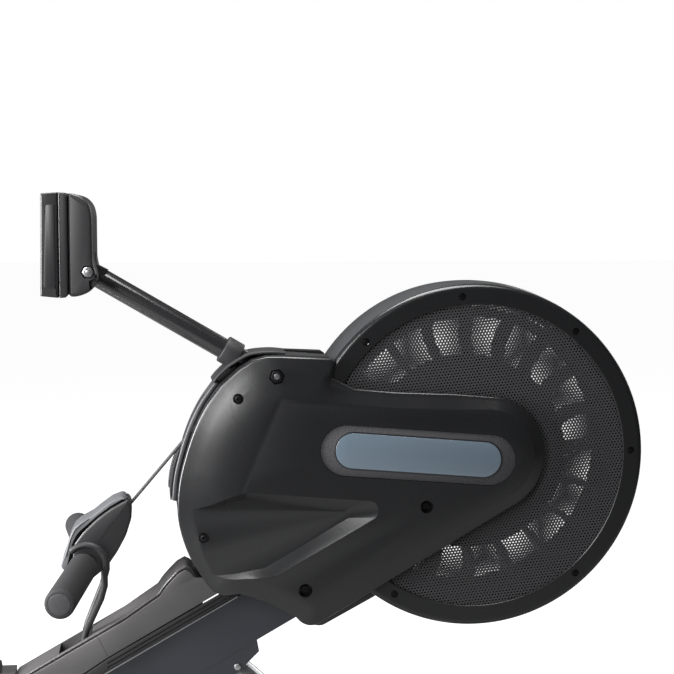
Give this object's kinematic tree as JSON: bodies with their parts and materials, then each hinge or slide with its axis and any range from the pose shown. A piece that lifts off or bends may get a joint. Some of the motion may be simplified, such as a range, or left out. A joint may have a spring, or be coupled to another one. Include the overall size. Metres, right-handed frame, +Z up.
{
  "type": "rowing machine",
  "caption": "Air rowing machine: a caged fan wheel on a sloping beam with moulded covers, a corded handle, a tilting console, footrests and a seat that rolls on a rail.",
  "frame": {"origin": "on the floor under the middle of the bounding box", "axes": "+X from the rear foot towards the fan wheel, +Z up, the middle plane at Y = 0"},
  "size_m": [2.503, 0.5372, 1.103],
  "materials": {
    "black_plastic": "satin moulded, fine texture",
    "black_paint": "gloss black powder coat",
    "grille_paint": "black perforated sheet",
    "rubber": "matte",
    "aluminium": "anodised, brushed",
    "steel": "bright zinc",
    "silver_paint": "silver powder coat",
    "display": "dark clear window",
    "cord": "braided",
    "webbing": "woven strap",
    "seat_foam": "moulded foam with a grained skin"
  },
  "bodies": {
    "frame": {"main_beam": "black_paint", "beam_cover": "black_plastic", "beam_panel_near": "black_plastic", "beam_panel_far": "black_plastic", "monorail": "aluminium", "rail_end_cap": "black_plastic", "front_leg": "silver_paint", "front_pad_near": "rubber", "front_pad_far": "rubber", "rear_leg": "black_paint", "rear_pad_near": "rubber", "rear_pad_far": "rubber", "near_cover": "black_plastic", "far_cover": "black_plastic", "cover_spine": "black_plastic", "cord_guide": "black_plastic", "belly_pan": "black_plastic", "axle_arm_near": "black_paint", "axle_arm_far": "black_paint", "drum_wall": "black_plastic", "drum_ring_near": "black_plastic", "drum_ring_far": "black_plastic", "grille_near": "grille_paint", "grille_far": "grille_paint", "fan_axle": "steel", "console_post": "black_paint", "footrest_bar": "steel", "handle_hook_near": "rubber", "handle_hook_far": "rubber"},
    "fan": {"fan_wheel": "aluminium"},
    "drive_pulley": {"drive_pulley": "aluminium"},
    "cord_pulley": {"cord_pulley": "aluminium"},
    "console": {"console_bezel": "black_plastic", "console_housing": "black_plastic", "console_screen": "display", "console_bolt": "steel"},
    "button_left": {"button_left": "rubber"},
    "button_middle": {"button_middle": "rubber"},
    "button_right": {"button_right": "rubber"},
    "handle": {"handle_shell_near": "black_plastic", "handle_shell_far": "black_plastic", "handle_bar": "steel", "grip_near": "rubber", "grip_far": "rubber", "pull_cord": "cord"},
    "seat": {"seat_pad": "seat_foam", "seat_pan": "black_plastic", "seat_carriage": "steel"},
    "roller_front": {"seat_roller_front": "rubber"},
    "roller_rear": {"seat_roller_rear": "rubber"},
    "under_roller_near": {"under_roller_near": "rubber"},
    "under_roller_far": {"under_roller_far": "rubber"},
    "footrest_near": {"footplate_near": "black_plastic", "foot_strap_near": "webbing"},
    "footrest_far": {"footplate_far": "black_plastic", "foot_strap_far": "webbing"},
    "heel_near": {"heel_cup_near": "black_plastic"},
    "heel_far": {"heel_cup_far": "black_plastic"},
    "wheel_near": {"transport_wheel_near": "rubber"},
    "wheel_far": {"transport_wheel_far": "rubber"}
  },
  "joints": [
    {"name": "fan_spin", "type": "hinge", "parent": "frame", "child": "fan", "pos_m": [0.984, 0, 0.7], "axis": [0, 1, 0], "continuous": true},
    {"name": "drive_pulley_turn", "type": "hinge", "parent": "frame", "child": "drive_pulley", "pos_m": [0.984, 0.042, 0.7], "axis": [0, 1, 0], "range_deg": [-180, 0]},
    {"name": "cord_pulley_turn", "type": "hinge", "parent": "frame", "child": "cord_pulley", "pos_m": [0.59343, 0, 0.74314], "axis": [0, 1, 0], "range_deg": [-215, 0]},
    {"name": "handle_pull", "type": "slide", "parent": "frame", "child": "handle", "axis": [-0.6494, 0, -0.7605], "range_m": [0, 0.1], "stiffness_N_per_m": 120, "springref_m": -0.2},
    {"name": "console_tilt", "type": "hinge", "parent": "frame", "child": "console", "pos_m": [0.4, 0, 0.987], "axis": [0, 1, 0], "range_deg": [-12, 12]},
    {"name": "press_left", "type": "slide", "parent": "console", "child": "button_left", "axis": [1, 0, 0], "range_m": [0, 0.0015], "stiffness_N_per_m": 300, "springref_m": -0.001},
    {"name": "press_middle", "type": "slide", "parent": "console", "child": "button_middle", "axis": [1, 0, 0], "range_m": [0, 0.0015], "stiffness_N_per_m": 300, "springref_m": -0.001},
    {"name": "press_right", "type": "slide", "parent": "console", "child": "button_right", "axis": [1, 0, 0], "range_m": [0, 0.0015], "stiffness_N_per_m": 300, "springref_m": -0.001},
    {"name": "seat_slide", "type": "slide", "parent": "frame", "child": "seat", "axis": [1, 0, 0], "range_m": [-0.66, 0.25]},
    {"name": "roll_front", "type": "hinge", "parent": "seat", "child": "roller_front", "pos_m": [-0.27, 0, 0.3903], "axis": [0, 1, 0], "range_deg": [-1910, 730]},
    {"name": "roll_rear", "type": "hinge", "parent": "seat", "child": "roller_rear", "pos_m": [-0.43, 0, 0.3903], "axis": [0, 1, 0], "range_deg": [-1910, 730]},
    {"name": "roll_under_near", "type": "hinge", "parent": "seat", "child": "under_roller_near", "pos_m": [-0.35, -0.027, 0.3452], "axis": [0, 1, 0], "range_deg": [-1210, 3180]},
    {"name": "roll_under_far", "type": "hinge", "parent": "seat", "child": "under_roller_far", "pos_m": [-0.35, 0.027, 0.3452], "axis": [0, 1, 0], "range_deg": [-1210, 3180]},
    {"name": "footrest_tilt_near", "type": "hinge", "parent": "frame", "child": "footrest_near", "pos_m": [0.11, -0.125, 0.262], "axis": [0, 1, 0], "range_deg": [-10, 15]},
    {"name": "heel_slide_near", "type": "slide", "parent": "footrest_near", "child": "heel_near", "axis": [-0.6428, 0, -0.766], "range_m": [-0.03, 0.03]},
    {"name": "wheel_spin_near", "type": "hinge", "parent": "frame", "child": "wheel_near", "pos_m": [1.028, -0.162, 0.0352], "axis": [0, 1, 0], "continuous": true},
    {"name": "footrest_tilt_far", "type": "hinge", "parent": "frame", "child": "footrest_far", "pos_m": [0.11, 0.125, 0.262], "axis": [0, 1, 0], "range_deg": [-10, 15]},
    {"name": "heel_slide_far", "type": "slide", "parent": "footrest_far", "child": "heel_far", "axis": [-0.6428, 0, -0.766], "range_m": [-0.03, 0.03]},
    {"name": "wheel_spin_far", "type": "hinge", "parent": "frame", "child": "wheel_far", "pos_m": [1.028, 0.162, 0.0352], "axis": [0, 1, 0], "continuous": true}
  ],
  "couplings": [
    {"joint": "drive_pulley_turn", "follows": "handle_pull", "rad_per_m": -30.303},
    {"joint": "cord_pulley_turn", "follows": "handle_pull", "rad_per_m": -36.364},
    {"joint": "roll_front", "follows": "seat_slide", "rad_per_m": 50},
    {"joint": "roll_rear", "follows": "seat_slide", "rad_per_m": 50},
    {"joint": "roll_under_near", "follows": "seat_slide", "rad_per_m": -83.333},
    {"joint": "roll_under_far", "follows": "seat_slide", "rad_per_m": -83.333}
  ]
}
